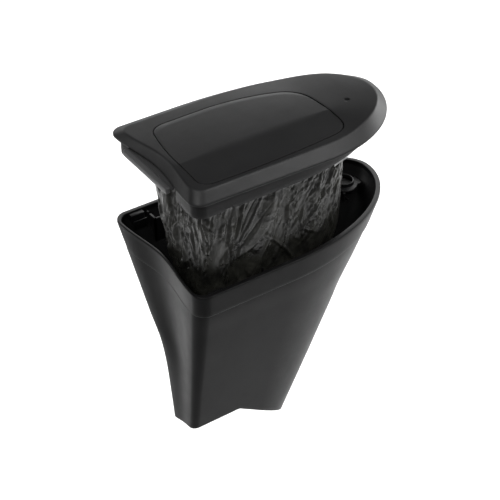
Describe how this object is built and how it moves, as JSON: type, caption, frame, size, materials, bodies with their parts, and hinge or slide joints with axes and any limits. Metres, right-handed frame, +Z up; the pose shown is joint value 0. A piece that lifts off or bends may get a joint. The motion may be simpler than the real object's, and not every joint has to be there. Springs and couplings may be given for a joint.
{
  "type": "drop-in waste bin",
  "caption": "Tapered D-shaped waste bin for a fitted pocket, its lid with a push flap and the bag ring with its hanging liner drawn lifted clear above the open shell.",
  "frame": {"origin": "middle of the ledge under the thick front band, where the bin hangs in its pocket", "axes": "+Z up; +X along the bin from its hollowed finger-grip end to its round nose; -Y out of the straight front wall"},
  "size_m": [0.2496, 0.1501, 0.3127],
  "materials": {
    "shell_plastic": "fine grained satin black",
    "lid_plastic": "fine grained satin black",
    "frame_plastic": "satin black",
    "bag_film": "glossy crumpled black film",
    "charcoal": "matt pressed charcoal",
    "seal_rubber": "matt",
    "steel": "plain"
  },
  "bodies": {
    "bin": {"bin_body": "shell_plastic", "tablet_cup": "frame_plastic", "charcoal_tablet": "charcoal"},
    "ring": {"bag_ring": "lid_plastic", "bag_liner": "bag_film"},
    "lid": {"lid_cover": "lid_plastic", "badge_disc": "frame_plastic", "lid_frame": "frame_plastic", "lid_screw_1": "steel", "lid_screw_2": "steel", "lid_screw_3": "steel", "lid_screw_4": "steel", "lid_screw_5": "steel", "lid_screw_6": "steel", "flap_seal": "seal_rubber", "hinge_bracket_left": "frame_plastic", "hinge_bracket_right": "frame_plastic", "flap_pin": "steel", "flap_spring_left": "steel", "flap_spring_right": "steel"},
    "flap": {"flap_panel": "lid_plastic"}
  },
  "joints": [
    {"name": "ring_lift", "type": "slide", "parent": "bin", "child": "ring", "axis": [0, 0, 1], "range_m": [-0.088, 0.055]},
    {"name": "lid_lift", "type": "slide", "parent": "ring", "child": "lid", "axis": [0, 0, 1], "range_m": [0, 0.06]},
    {"name": "flap_swing", "type": "hinge", "parent": "lid", "child": "flap", "pos_m": [0, 0.05125, 0.119], "axis": [1, 0, 0], "range_deg": [0, 60]}
  ]
}
